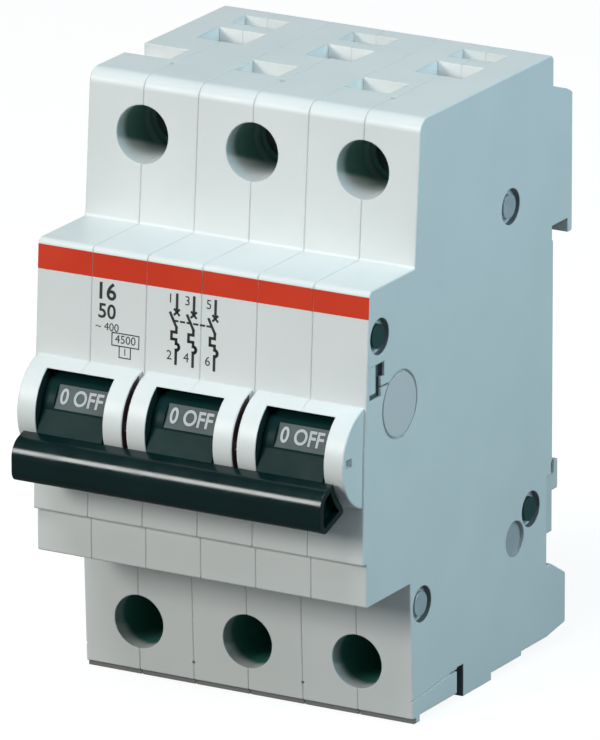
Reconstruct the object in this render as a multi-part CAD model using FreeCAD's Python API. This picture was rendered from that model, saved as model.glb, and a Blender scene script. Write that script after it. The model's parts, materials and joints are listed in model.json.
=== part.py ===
import FreeCAD, Part
import math
import os

V = FreeCAD.Vector

# Frame: +X to the right of the front, +Y towards the mounting rail, +Z up, all in millimetres.
# The origin is the centre of the face that rests on the rail: y = 0 is the rail plane.

# Housing, seen from the front
POLES = 3
MODULE = 17.5
HEIGHT = 86.5
CAP_HEIGHT = 45.0
WALL = 1.4
FRONT_WALL = 1.6
END_WALL = 2.95
CAP_WALL = 2.2
BACK_WALL = 4.2
SEAM_CHAMFER = 0.12
FIT = 0.05
PLAY = 0.15
BITE = 0.2

# Housing, seen from the side
TOP_FRONT_Y = -37.6
SHOULDER_Y = -39.2
CAP_TOP_Y = -51.7
CAP_MID_Y = -53.05
CAP_LOW_Y = -53.6
STEP_DEPTH = 1.0
STEP_RISE = 6.3
BASE_SHOULDER_Y = -40.4
BASE_FRONT_Y = -39.6
TOP_ROUND = 2.0
REAR_ROUND = 0.8
CAP_ROUND = 0.8
LIP_SETBACK = 0.5
LIP_DEPTH = 2.0
LIP_HEIGHT = 0.75
LIP_RISE = 0.95
NOTCH_Y = -27.1
NOTCH_WIDTH = 1.75
NOTCH_RISE = 4.7
NOTCH_WALL = 0.45
BASE_REAR_Y = -17.3
MIDDLE_RISE = 1.05
MIDDLE_REAR_Y = -8.6
REAR_RISE = 1.65

# Rail interface at the back, for the 35 mm top-hat rail
RAIL_WIDTH = 35.0
RAIL_LIP = 1.0
HOOK_GAP = 4.2
HOOK_THICKNESS = 1.2
HOOK_OVERLAP = 1.0
HOOK_CLEARANCE = 1.0
HOOK_TOP_DROP = 4.55
HOOK_SHOULDER = 1.3
HOOK_SLOPE = 0.8
NIB_HALF = 4.0
SEAT_RELIEF = 0.3
FOOT_DEPTH = 4.1
FOOT_RISE = 12.15
FOOT_SLOPE = 2.4
FOOT_START_Y = -1.0
FOOT_LOW_RISE = 2.4
CLIP_RECESS = 1.4
CLIP_TRAVEL = 4.5
CLIP_HEAD_OUT = 0.6
CLIP_NOSE_OUT = 2.2
CLIP_NOSE_OVERLAP = 1.3
CLIP_NOSE_DEPTH = 2.4
CLIP_STEM_HALF = 3.3
CLIP_STEM_DEPTH = 1.4
CLIP_SIDE_PLAY = 0.4
CLIP_WINDOW_HALF = 1.7
CLIP_SPRING_RISE = 18.25
CLIP_SPRING_LENGTH = 9.5
CLIP_SPRING_RADIUS = 0.85
CLIP_SPRING_WIRE = 0.25
CLIP_SPRING_TURNS = 8
CLIP_TAIL_RISE = 2.05
CLIP_TAB_HEIGHT = 3.0

# Handle: one toggle a pole, joined by a bar
PIVOT_Y = -51.2
PIVOT_Z = -1.0
HANDLE_REST = -36.0
HANDLE_TRAVEL = 70.0
BULGE_RADIUS = 7.4
BULGE_Y = -51.1
BULGE_Z = -1.0
BULGE_INSET = 0.35
BULGE_EDGE = 0.25
WINDOW_HALF = 5.4
WINDOW_TOP = 5.15
WINDOW_BOTTOM = -7.6
DRUM_RADIUS = 5.75
DRUM_HALF = 5.2
LEVER_REACH = 10.2
LEVER_ROOT = 2.5
LEVER_DOWN = 1.8
LEVER_TIP_UP = 0.9
LEVER_SHOULDER = (3.9, 4.1)
PLATE_ANGLE = 28.5
PLATE_SPREAD = 120.0
PLATE_LENGTH = 8.4
PLATE_HEIGHT = 3.5
PLATE_SHIFT = 0.8
PLATE_THICKNESS = 0.5
PLATE_SINK = 0.35
BAR_LENGTH = 49.0
BAR_FRONT_Y = -62.25
BAR_FRONT_TOP_Z = -4.2
BAR_FRONT_LOW_Z = -10.3
BAR_REAR_TOP = (-58.7, -3.05)
BAR_REAR_LOW = (-55.7, -8.0)
BAR_TOP_ROUND = 2.8
BAR_LOW_ROUND = 1.5
BAR_REAR_ROUND = 0.5
BAR_SWEEP = 7.8
BAR_END_HOLLOW = 1.2
BAR_END_RIM = 0.9
PIVOT_PIN_RADIUS = 1.0
PIVOT_PIN_HALF = 7.9
PIVOT_SPRING_RADIUS = 2.1
PIVOT_SPRING_WIRE = 0.45
PIVOT_SPRING_WIDTH = 1.7
PIVOT_SPRING_TURNS = 3
PIVOT_SPRING_POCKET = 2.9

# Link from each toggle to its contact arm
CRANK = 3.6
CRANK_ANGLE = 96.48
LINK_HALF = 0.7
LINK_WIDTH = 1.7
LINK_PIN_RADIUS = 0.6
LINK_PIN_HALF = 1.9
LINK_SLOT_HALF = 1.2
LINK_SLOT_LOW = 1.6
LINK_LOST_MOTION = 0.95

# Contact arm
ARM_PIVOT_Y = -33.5
ARM_PIVOT_Z = 13.5
ARM_SWING = 16.0
ARM_LINK_FRONT = 2.5
ARM_LINK_DROP = 10.3
ARM_HALF = 2.0
ARM_THICKNESS = 2.0
ARM_EYE = 2.2
ARM_REACH = 21.5
ARM_PIN_RADIUS = 0.9
ARM_PIN_HALF = 7.9
CONTACT_SPRING_RADIUS = 1.55
CONTACT_SPRING_WIRE = 0.35
CONTACT_SPRING_WIDTH = 2.4
CONTACT_SPRING_TURNS = 3
CONTACT_SPRING_GAP = 0.3
TIP_HEIGHT = 3.0
TIP_THICKNESS = 0.9
TIP_HALF = 1.7
CONTACT_GAP = 0.08
STRAP_THICKNESS = 1.2
STRAP_HALF = 2.6
FIXED_LIFT = 0.4
FIXED_TAIL = 0.8
FIXED_FOOT = 3.0
FIXED_TOP_Z = -2.9
FIXED_TAIL_Y = -12.0

# Magnetic trip: coil on a bobbin, steel yoke, sprung plunger
COIL_FRONT_Y = -28.2
COIL_LENGTH = 12.6
COIL_Z = 5.0
COIL_RADIUS = 5.6
BOBBIN_FLANGE_RADIUS = 6.1
BOBBIN_FLANGE = 0.9
BOBBIN_TUBE_RADIUS = 3.1
BOBBIN_BORE = 2.4
COIL_TURNS = 8
YOKE_THICKNESS = 1.2
YOKE_HALF = 4.5
PLUNGER_RADIUS = 2.3
PLUNGER_LENGTH = 6.5
PLUNGER_PIN_RADIUS = 0.7
PLUNGER_TRAVEL = 2.4
PLUNGER_SPRING_RADIUS = 1.5
PLUNGER_SPRING_WIRE = 0.35
PLUNGER_SPRING_TURNS = 5
PLUNGER_SEAT = 0.2

# Thermal trip: bimetal strip, trip levers on a common cross-bar, adjusting screw, braid
TRIP_Y = -43.0
TRIP_Z = 8.2
TRIP_RADIUS = 1.3
TRIP_SWING = 8.0
TRIP_LEVER_DROP = 8.6
TRIP_LEVER_THICKNESS = 1.2
TRIP_HUB = 2.2
TRIP_BAR_SEAT = 0.6
BIMETAL_X0 = 2.6
BIMETAL_WIDTH = 3.8
BIMETAL_THICKNESS = 0.9
BIMETAL_GAP = 0.5
BIMETAL_TOP_Z = 2.4
BIMETAL_FOOT_Z = -18.9
ADJUST_Z = -15.8
ADJUST_RADIUS = 1.2
ADJUST_HEAD = 2.0
ADJUST_HEAD_HEIGHT = 1.2
ADJUST_SLOT = 0.5
ADJUST_LENGTH = 7.2
ADJUST_RIB = 1.6
BRAID_RADIUS = 0.8

# Arc chute
CHUTE_FRONT_Y = -27.0
CHUTE_REAR_Y = -10.6
CHUTE_TOP_Z = -9.2
CHUTE_PLATES = 8
CHUTE_PITCH = 2.0
CHUTE_PLATE = 1.0
CHUTE_HALF = 6.5
CHUTE_CARD = 0.7
CHUTE_NOTCH_DEPTH = 6.0
CHUTE_NOTCH_HALF = 3.0
RUNNER_THICKNESS = 0.9

# Terminals: a screw turns in place and draws a cage that grips the wire
UPPER_TERMINAL_DROP = 8.15
LOWER_TERMINAL_RISE = 7.95
UPPER_BORE_RADIUS = 4.15
LOWER_BORE_RADIUS = 3.95
BORE_WALL = 1.1
SCREW_HEAD_RADIUS = 3.3
SCREW_HEAD_FRONT_Y = -28.5
SCREW_HEAD_HEIGHT = 2.4
SCREW_RADIUS = 2.5
SCREW_SLOT_WIDTH = 1.1
SCREW_SLOT_DEPTH = 1.4
LEDGE = 0.8
BAR_Y = -16.9
BAR_THICKNESS = 1.2
BAR_HALF = 4.0
CAGE_FRONT_WALL = 2.2
CAGE_SIDE_WALL = 1.2
CAGE_REAR_WALL = 1.4
CAGE_HALF = 5.7
CAGE_HALF_HEIGHT = 4.2
CAGE_TRAVEL = 5.5
WIRE_SPACE = 7.3
CAGE_GUIDE = 1.0
PARTITION = 1.3
PARTITION_DROP = 15.05
PARTITION_RISE = 14.85
STRAP_RUN_Y = -33.9

# Wire and busbar entries in the two ends
ENTRY_HALF = 3.8
ENTRY_FRONT_Y = -16.9
ENTRY_REAR_Y = -10.6
BUSBAR_HALF = 3.6
BUSBAR_FRONT_Y = -7.9
BUSBAR_REAR_Y = -3.7
BUSBAR_DEPTH = 2.2
LOW_BUSBAR_DEPTH = 1.2
POCKET_FLOOR = 0.7
SLIT_FRONT_Y = -28.4
SLIT_REAR_Y = -22.8
SLIT_DEPTH = 2.1
SLIT_LENGTH = 7.3
SEAM_HOLE_RADIUS = 0.45
SEAM_HOLE_Y = -29.8

# Rivets through all poles, at (y, z), and the marks on the side walls
RIVETS = [(-12.2, 24.4), (-49.0, 15.5), (-6.1, -21.3), (-37.1, -26.3)]
RIVET_RADIUS = 1.3
RIVET_HEAD_RADIUS = 1.75
RIVET_HEAD_HEIGHT = 0.8
RIVET_BOSS_RADIUS = 2.4
RIVET_RECESS_RADIUS = 2.6
RIVET_RECESS_DEPTH = 1.0
SHALLOW_RECESS = (-10.7, -24.4)
SHALLOW_DEPTH = 0.6
DISC = (-43.4, 4.3)
DISC_RADIUS = 4.9
GROOVE_WIDTH = 0.35
GROOVE_DEPTH = 0.4
SIDE_LINE_FRONT_RISE = 3.15
SIDE_LINE_REAR_RISE = 4.2
SIDE_LINE_END_Y = -28.8
SIDE_LINE_DEPTH = 0.2
SLOT_FRONT_Y = -51.8
SLOT_MIDDLE_Y = -49.7
SLOT_STEM_Y = -48.7
SLOT_REAR_Y = -47.7
SLOT_LINK_Y = -46.6
SLOT_TOP_Z = 11.7
SLOT_NECK_Z = 9.6
SLOT_LINK_Z = 8.0
SLOT_FOOT_Z = 7.6
SLOT_LOW_Z = 6.9
SLOT_DEPTH = 1.0
SLOT_STEM_DEPTH = 0.7
SLOT_FIELD_DEPTH = 0.25
CHEEK_HOLE = (-56.9, -0.6)
CHEEK_HOLE_WIDTH = 1.6
CHEEK_HOLE_HEIGHT = 1.2
CHEEK_HOLE_DEPTH = 0.8

# Places worked out from the values above
HALF = MODULE / 2
TOP = HEIGHT / 2
CAP = CAP_HEIGHT / 2
INNER = HALF - WALL
WIDTH = POLES * MODULE
POLE_X = [MODULE * (i - (POLES - 1) / 2) for i in range(POLES)]
RAIL_HALF = RAIL_WIDTH / 2
SLOT_ROOT_Z = RAIL_HALF + HOOK_CLEARANCE
HOOK_LIP_Z = RAIL_HALF - HOOK_OVERLAP
HOOK_TOP_Z = TOP - HOOK_TOP_DROP
CLIP_SEAT_Z = -RAIL_HALF - 0.4
CLIP_NOSE_Z = -RAIL_HALF + CLIP_NOSE_OVERLAP
CLIP_TAIL_Z = -TOP + CLIP_TAIL_RISE
CLIP_SPRING_TOP_Z = -TOP + CLIP_SPRING_RISE
FOOT_TOP_Z = -TOP + FOOT_RISE
UPPER_TERMINAL_Z = TOP - UPPER_TERMINAL_DROP
LOWER_TERMINAL_Z = -TOP + LOWER_TERMINAL_RISE
PARTITION_TOP_Z = TOP - PARTITION_DROP
PARTITION_LOW_Z = -TOP + PARTITION_RISE
DRUM_PIVOT = (PIVOT_Y, PIVOT_Z)
PLATE_ANGLES = [PLATE_ANGLE, PLATE_ANGLE - PLATE_SPREAD]
SCREW_HEAD_REAR_Y = SCREW_HEAD_FRONT_Y + SCREW_HEAD_HEIGHT
CAGE_INNER_REAR_Y = BAR_Y + BAR_THICKNESS + WIRE_SPACE
CAGE_REAR_Y = CAGE_INNER_REAR_Y + CAGE_REAR_WALL
CAGE_INNER_FRONT_Y = BAR_Y - 0.2
CAGE_FRONT_Y = CAGE_INNER_FRONT_Y - CAGE_FRONT_WALL
TRIP_LEVER_REAR_Y = TRIP_Y + TRIP_LEVER_THICKNESS / 2
BIMETAL_Y = TRIP_LEVER_REAR_Y + BIMETAL_GAP
COIL_REAR_Y = COIL_FRONT_Y + COIL_LENGTH
ARM_REAR_Y = ARM_PIVOT_Y + ARM_THICKNESS / 2
TIP_FACE_Y = ARM_REAR_Y + TIP_THICKNESS
FIXED_FACE_Y = TIP_FACE_Y + CONTACT_GAP
FIXED_Y = FIXED_FACE_Y + TIP_THICKNESS
TIP_Z = ARM_PIVOT_Z - ARM_REACH + 0.5
CHUTE_BOTTOM_Z = CHUTE_TOP_Z - (CHUTE_PLATES - 1) * CHUTE_PITCH - CHUTE_PLATE


def box(x0, x1, y0, y1, z0, z1):
    return Part.makeBox(x1 - x0, y1 - y0, z1 - z0, V(x0, y0, z0))


def rod_x(radius, x0, x1, y, z):
    return Part.makeCylinder(radius, x1 - x0, V(x0, y, z), V(1, 0, 0))


def rod_y(radius, y0, y1, x, z):
    return Part.makeCylinder(radius, y1 - y0, V(x, y0, z), V(0, 1, 0))


def rod_z(radius, z0, z1, x, y):
    return Part.makeCylinder(radius, z1 - z0, V(x, y, z0), V(0, 0, 1))


def rounded_outline(corners):
    """A closed outline in the side plane. Each corner is (y, z) or (y, z, radius)."""
    count = len(corners)
    runs = []
    for i in range(count):
        here = V(0, corners[i][0], corners[i][1])
        before = V(0, corners[i - 1][0], corners[i - 1][1])
        after = V(0, corners[(i + 1) % count][0], corners[(i + 1) % count][1])
        radius = corners[i][2] if len(corners[i]) > 2 else 0
        if not radius:
            runs.append((here, None, here))
            continue
        back = (before - here).normalize()
        ahead = (after - here).normalize()
        half = back.getAngle(ahead) / 2
        setback = radius / math.tan(half)
        bisector = (back + ahead).normalize()
        middle = here + bisector * (radius / math.sin(half) - radius)
        runs.append((here + back * setback, middle, here + ahead * setback))
    edges = []
    for i in range(count):
        start, middle, end = runs[i]
        if middle is not None:
            edges.append(Part.Arc(start, middle, end).toShape())
        edges.append(Part.makeLine(end, runs[(i + 1) % count][0]))
    return Part.Wire(edges)


def prism(corners, x0, x1):
    """The outline, given as side-plane corners, filled and drawn out from x0 to x1."""
    solid = Part.Face(rounded_outline(corners)).extrude(V(x1 - x0, 0, 0))
    solid.translate(V(x0, 0, 0))
    return solid


def rotated(shape, centre, angle):
    """The shape turned about an axis along X through centre, given as (y, z)."""
    turned = shape.copy()
    turned.rotate(V(0, centre[0], centre[1]), V(1, 0, 0), angle)
    return turned


def moved(shape, x=0.0, y=0.0, z=0.0):
    copy = shape.copy()
    copy.translate(V(x, y, z))
    return copy


def mirrored(shape):
    return shape.mirror(V(0, 0, 0), V(1, 0, 0))


def polar(centre, radius, angle):
    """The point at this angle, measured from the front (-Y) towards +Z."""
    t = math.radians(angle)
    return (centre[0] - radius * math.cos(t), centre[1] + radius * math.sin(t))


def turned_point(point, centre, angle):
    t = math.radians(angle)
    y, z = point[0] - centre[0], point[1] - centre[1]
    return (centre[0] + y * math.cos(t) - z * math.sin(t), centre[1] + y * math.sin(t) + z * math.cos(t))


def fused(shapes):
    return shapes[0].multiFuse(shapes[1:]).removeSplitter()


def bar_between(start, end, width, x0, x1):
    """A flat bar with round ends from start to end, both (y, z)."""
    angle = math.degrees(math.atan2(end[1] - start[1], end[0] - start[0]))
    length = math.hypot(end[0] - start[0], end[1] - start[1])
    run = box(x0, x1, start[0], start[0] + length, start[1] - width / 2, start[1] + width / 2)
    ends = [rod_x(width / 2, x0, x1, *start), rod_x(width / 2, x0, x1, *end)]
    return fused([rotated(run, start, angle)] + ends)


def coil_spring(radius, wire, length, turns):
    """A compression spring along +Z from the origin, its wire centred on the given radius."""
    height = length - 2 * wire
    helix = Part.makeHelix(height / turns, height, radius)
    section = Part.Wire(Part.makeCircle(wire, V(radius, 0, 0), V(0, 1, 0)))
    spring = Part.Wire(helix).makePipeShell([section], True, True)
    return moved(spring, z=wire)


def save(name, solids):
    shape = solids[0] if len(solids) == 1 else Part.makeCompound(solids)
    shape.exportStep("parts/" + name + ".step")


# Housing


def housing_corners():
    """The side outline of a pole without its bulge, from the top front corner downwards."""
    step_z = -CAP + STEP_RISE
    low_y = CAP_LOW_Y + STEP_DEPTH
    face_end_z = -TOP + LIP_HEIGHT
    lip_y = BASE_FRONT_Y + LIP_SETBACK
    under_z = -TOP + LIP_RISE
    front = [
        (TOP_FRONT_Y, TOP, TOP_ROUND), (SHOULDER_Y, CAP, 0.4), (CAP_TOP_Y, CAP, CAP_ROUND),
        (CAP_MID_Y, 0.0), (CAP_LOW_Y, step_z, 0.3), (low_y, step_z), (low_y, -CAP, 0.3),
        (BASE_SHOULDER_Y, -CAP), (BASE_FRONT_Y, face_end_z, 0.2),
    ]
    bottom = [
        (lip_y, face_end_z), (lip_y, -TOP), (BASE_FRONT_Y + LIP_DEPTH, -TOP),
        (BASE_FRONT_Y + LIP_DEPTH, under_z), (NOTCH_Y, under_z),
        (NOTCH_Y, -TOP + NOTCH_RISE), (NOTCH_Y + NOTCH_WIDTH, -TOP + NOTCH_RISE),
        (NOTCH_Y + NOTCH_WIDTH, -TOP), (BASE_REAR_Y, -TOP), (BASE_REAR_Y, -TOP + MIDDLE_RISE),
        (MIDDLE_REAR_Y, -TOP + MIDDLE_RISE), (MIDDLE_REAR_Y, -TOP + REAR_RISE),
    ]
    foot = [
        (FOOT_START_Y, -TOP + REAR_RISE), (FOOT_DEPTH, -TOP + FOOT_LOW_RISE, 0.3),
        (FOOT_DEPTH, FOOT_TOP_Z - FOOT_SLOPE, 0.3),
        (0.0, FOOT_TOP_Z), (-CLIP_RECESS, FOOT_TOP_Z), (-CLIP_RECESS, CLIP_SEAT_Z),
        (-SEAT_RELIEF, CLIP_SEAT_Z), (-SEAT_RELIEF, CLIP_NOSE_Z + PLAY), (0.0, CLIP_NOSE_Z + PLAY),
    ]
    outer_y = HOOK_GAP + HOOK_THICKNESS
    hook = [
        (0.0, HOOK_LIP_Z - PLAY), (-SEAT_RELIEF, HOOK_LIP_Z - PLAY), (-SEAT_RELIEF, SLOT_ROOT_Z),
        (HOOK_GAP, SLOT_ROOT_Z), (HOOK_GAP, HOOK_LIP_Z), (outer_y, HOOK_LIP_Z, 0.3),
        (outer_y, HOOK_TOP_Z - HOOK_SHOULDER - HOOK_SLOPE, 0.5),
        (HOOK_GAP - 0.3, HOOK_TOP_Z - HOOK_SHOULDER, 0.3), (0.0, HOOK_TOP_Z), (0.0, TOP, REAR_ROUND),
    ]
    return front + bottom + foot + hook


def chamfered_half():
    """The right half of a pole, solid, with small bevels at the seams, except on the rail seat."""
    block = prism(housing_corners(), 0.0, HALF)
    rims = [
        e for e in block.Edges
        if e.BoundBox.XLength < 1e-6
        and (abs(e.BoundBox.XMin) < 1e-6 or abs(e.BoundBox.XMin - HALF) < 1e-6)
        and e.BoundBox.YMin < -SEAT_RELIEF - FIT
    ]
    return block.makeChamfer(SEAM_CHAMFER, rims)


def bulge_half():
    """The round nose of the pole about the toggle, right half."""
    outer = HALF - BULGE_INSET
    nose = rod_x(BULGE_RADIUS, 0.0, outer, BULGE_Y, BULGE_Z)
    rim = [e for e in nose.Edges if abs(e.BoundBox.XMin - outer) < 1e-6 and e.BoundBox.XLength < 1e-6]
    nose = nose.makeFillet(BULGE_EDGE, rim)
    front = box(0.0, outer, BULGE_Y - 2 * BULGE_RADIUS, CAP_TOP_Y - 0.5, -BULGE_RADIUS - 1, BULGE_RADIUS + 1)
    return nose.common(front)


def cavity_half():
    """The hollow inside the right half."""
    top_y = TOP_FRONT_Y + FRONT_WALL
    body = box(-1, INNER, top_y, -BACK_WALL, -TOP + END_WALL, TOP - END_WALL)
    cap = prism(
        [(top_y + 1, CAP - CAP_WALL), (CAP_TOP_Y + FRONT_WALL, CAP - CAP_WALL),
         (CAP_TOP_Y + FRONT_WALL, -CAP + CAP_WALL), (top_y + 1, -CAP + CAP_WALL)],
        -1, INNER)
    hollow = fused([body, cap])
    notch = box(-2, HALF, NOTCH_Y - NOTCH_WALL, NOTCH_Y + NOTCH_WIDTH + NOTCH_WALL,
                -TOP, -TOP + NOTCH_RISE + NOTCH_WALL)
    cheek = rod_x(DRUM_RADIUS + 2 * PLAY, WINDOW_HALF, HALF, *DRUM_PIVOT)
    return hollow.cut(fused([notch, cheek]))


def bore_radius(z):
    return UPPER_BORE_RADIUS if z > 0 else LOWER_BORE_RADIUS


def bore_tube(z):
    """The tube that leads a screwdriver to a terminal screw, with the ledge behind the head."""
    end = SCREW_HEAD_REAR_Y + PLAY + LEDGE
    return rod_y(bore_radius(z) + BORE_WALL, TOP_FRONT_Y + 0.5, end, 0, z)


def bore_hole(z):
    wide = rod_y(bore_radius(z), CAP_TOP_Y, SCREW_HEAD_FRONT_Y - PLAY, 0, z)
    seat = rod_y(SCREW_HEAD_RADIUS + PLAY, CAP_TOP_Y, SCREW_HEAD_REAR_Y + PLAY, 0, z)
    narrow = rod_y(SCREW_RADIUS + PLAY, CAP_TOP_Y, SCREW_HEAD_REAR_Y + PLAY + LEDGE + 1, 0, z)
    return fused([wide, seat, narrow])


def cage_guides(z):
    """Two rails on the side wall that the cage slides between, and the stop behind it."""
    start = CAGE_HALF + PLAY
    front = SCREW_HEAD_REAR_Y + PLAY
    rails = [
        box(start, INNER + BITE, front, -BACK_WALL + BITE, z + s - CAGE_GUIDE / 2, z + s + CAGE_GUIDE / 2)
        for s in (-CAGE_HALF_HEIGHT / 2, CAGE_HALF_HEIGHT / 2)
    ]
    stop = box(-1, INNER + BITE, CAGE_REAR_Y + PLAY, -BACK_WALL + BITE, z - 1.5, z + 1.5)
    return fused(rails + [stop])


def partitions():
    """Floors that part the terminal rooms from the mechanism, slit for the conductors."""
    plates = []
    for z in (PARTITION_TOP_Z - PARTITION, PARTITION_LOW_Z - PARTITION):
        plate = box(-1, INNER + BITE, TOP_FRONT_Y + 0.5, -BACK_WALL + BITE, z, z + PARTITION)
        slit = box(-2, BAR_HALF + FIT, BAR_Y - FIT, BAR_Y + BAR_THICKNESS + FIT, z - 1, z + PARTITION + 1)
        plates.append(plate.cut(slit))
    return plates


def rivet_bosses():
    return [rod_x(RIVET_BOSS_RADIUS, -1, HALF - BITE, y, z) for y, z in RIVETS]


def pin_bosses():
    """Sockets on the side wall for the ends of the toggle and contact-arm pins."""
    arm = rod_x(ARM_PIN_RADIUS + 1.2, ARM_HALF + 3.0, HALF - 0.3, ARM_PIVOT_Y, ARM_PIVOT_Z)
    return [arm]


def coil_seats():
    """Ledges on the side wall that the bobbin and the yoke rest on."""
    front = COIL_FRONT_Y - YOKE_THICKNESS
    low = COIL_Z - BOBBIN_FLANGE_RADIUS - YOKE_THICKNESS - 0.4
    shelf = box(YOKE_HALF - 1.0, INNER + BITE, front + 2.0, COIL_REAR_Y - 1.0, low - 1.2, low)
    back = box(1.5, INNER + BITE, COIL_REAR_Y + FIT, -BACK_WALL + BITE, COIL_Z - 1.0, COIL_Z + 1.0)
    return [shelf, back]


def entry_cuts():
    """Wire and busbar entries in the top and the bottom."""
    entry = (-1, ENTRY_HALF, ENTRY_FRONT_Y, ENTRY_REAR_Y)
    busbar = (-1, BUSBAR_HALF, BUSBAR_FRONT_Y, BUSBAR_REAR_Y)
    return [
        box(*entry, TOP - END_WALL - 1, TOP + 1),
        box(*entry, -TOP - 1, -TOP + END_WALL + 1),
        box(*busbar, TOP - BUSBAR_DEPTH, TOP + 1),
        box(*busbar, -TOP - 1, -TOP + REAR_RISE + LOW_BUSBAR_DEPTH),
    ]


def entry_floors():
    """Thicker ends under the busbar pockets and the notch in the top."""
    busbar = (-1, INNER + BITE, BUSBAR_FRONT_Y - POCKET_FLOOR, -BACK_WALL + BITE)
    slit = (-1, INNER + BITE, SLIT_FRONT_Y - POCKET_FLOOR, SLIT_REAR_Y + POCKET_FLOOR)
    return [
        box(*busbar, TOP - BUSBAR_DEPTH - POCKET_FLOOR, TOP - 1),
        box(*busbar, -TOP + REAR_RISE, -TOP + REAR_RISE + LOW_BUSBAR_DEPTH + POCKET_FLOOR),
        box(*slit, TOP - SLIT_DEPTH - POCKET_FLOOR, TOP - 1),
    ]


def window_cut():
    """The opening for the toggle, with room for its drum."""
    slot = box(-1, WINDOW_HALF, BULGE_Y - 2 * BULGE_RADIUS, PIVOT_Y + 6.0, WINDOW_BOTTOM, WINDOW_TOP)
    drum = rod_x(DRUM_RADIUS + PLAY, -1, WINDOW_HALF, *DRUM_PIVOT)
    return fused([slot, drum])


def side_marks():
    """Recesses and grooves in the outer face of a side wall."""
    cuts = []
    for y, z in RIVETS:
        cuts.append(rod_x(RIVET_RECESS_RADIUS, HALF - RIVET_RECESS_DEPTH, HALF + 1, y, z))
        cuts.append(rod_x(RIVET_RADIUS + FIT, -2, HALF + 1, y, z))
    y, z = SHALLOW_RECESS
    cuts.append(rod_x(RIVET_RECESS_RADIUS, HALF - SHALLOW_DEPTH, HALF + 1, y, z))
    ring = rod_x(DISC_RADIUS, HALF - GROOVE_DEPTH, HALF + 1, *DISC)
    ring = ring.cut(rod_x(DISC_RADIUS - GROOVE_WIDTH, HALF - 1, HALF + 2, *DISC))
    cuts.append(ring)
    cuts += side_slot()
    hole = box(0, CHEEK_HOLE_DEPTH + 1, -CHEEK_HOLE_WIDTH / 2, CHEEK_HOLE_WIDTH / 2,
               -CHEEK_HOLE_HEIGHT / 2, CHEEK_HOLE_HEIGHT / 2)
    cuts.append(moved(hole, HALF - BULGE_INSET - CHEEK_HOLE_DEPTH, *CHEEK_HOLE))
    front = (BASE_FRONT_Y - PLAY, -TOP + SIDE_LINE_FRONT_RISE)
    rear = (SIDE_LINE_END_Y, -TOP + SIDE_LINE_REAR_RISE)
    line = [front, rear, (rear[0], rear[1] + GROOVE_WIDTH), (front[0], front[1] + GROOVE_WIDTH)]
    cuts.append(prism(line, HALF - SIDE_LINE_DEPTH, HALF + 1))
    cuts.append(box(HALF - SLOT_STEM_DEPTH, HALF + 1, rear[0], NOTCH_Y + BITE,
                    rear[1], rear[1] + GROOVE_WIDTH))
    return cuts


def side_slot():
    """The stepped slot in front of the disc: a deep top, a stem down from it, a foot and a link."""
    return [
        box(HALF - SLOT_DEPTH, HALF + 1, SLOT_MIDDLE_Y, SLOT_REAR_Y, SLOT_NECK_Z, SLOT_TOP_Z),
        box(HALF - SLOT_STEM_DEPTH, HALF + 1, SLOT_MIDDLE_Y, SLOT_STEM_Y, SLOT_LOW_Z, SLOT_NECK_Z + BITE),
        box(HALF - SLOT_STEM_DEPTH, HALF + 1, SLOT_FRONT_Y, SLOT_MIDDLE_Y + BITE, SLOT_LOW_Z, SLOT_FOOT_Z),
        box(HALF - GROOVE_DEPTH, HALF + 1, SLOT_STEM_Y - BITE, SLOT_LINK_Y,
            SLOT_LINK_Z, SLOT_LINK_Z + GROOVE_WIDTH),
        box(HALF - SLOT_FIELD_DEPTH, HALF + 1, SLOT_FRONT_Y, SLOT_MIDDLE_Y, SLOT_FOOT_Z, SLOT_TOP_Z),
    ]


def clip_channel():
    """The slot at the lower back in which the rail clip slides."""
    front = -CLIP_RECESS - CLIP_STEM_DEPTH - PLAY
    half = CLIP_STEM_HALF + CLIP_SIDE_PLAY
    channel = box(-1, half, front, FOOT_DEPTH + 1, -TOP - 1, CLIP_SPRING_TOP_Z + CLIP_TRAVEL - 2.0)
    return channel


def clip_peg():
    """The peg in the channel that the clip's spring stands on."""
    top = CLIP_SPRING_TOP_Z - CLIP_SPRING_LENGTH
    front = -CLIP_RECESS - CLIP_STEM_DEPTH - PLAY
    return box(0, CLIP_WINDOW_HALF - 0.4, front - 0.2, -CLIP_RECESS + 0.2, top - 1.4, top)


def hook_nib():
    """The middle of the hook reaches close behind the rail's lip."""
    return box(0, NIB_HALF, RAIL_LIP + 0.3, HOOK_GAP + BITE, HOOK_LIP_Z, SLOT_ROOT_Z + BITE)


def adjust_rib():
    """A rib with the thread of the adjusting screw, right half only."""
    x = BIMETAL_X0 + BIMETAL_WIDTH / 2
    y = BIMETAL_Y - 5.0
    rib = box(x - 2.2, INNER + BITE, y, y + ADJUST_RIB, -CAP + CAP_WALL - BITE, ADJUST_Z + 2 * ADJUST_RADIUS)
    return rib.cut(rod_y(ADJUST_RADIUS + FIT, y - 1, y + ADJUST_RIB + 1, x, ADJUST_Z))


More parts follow.
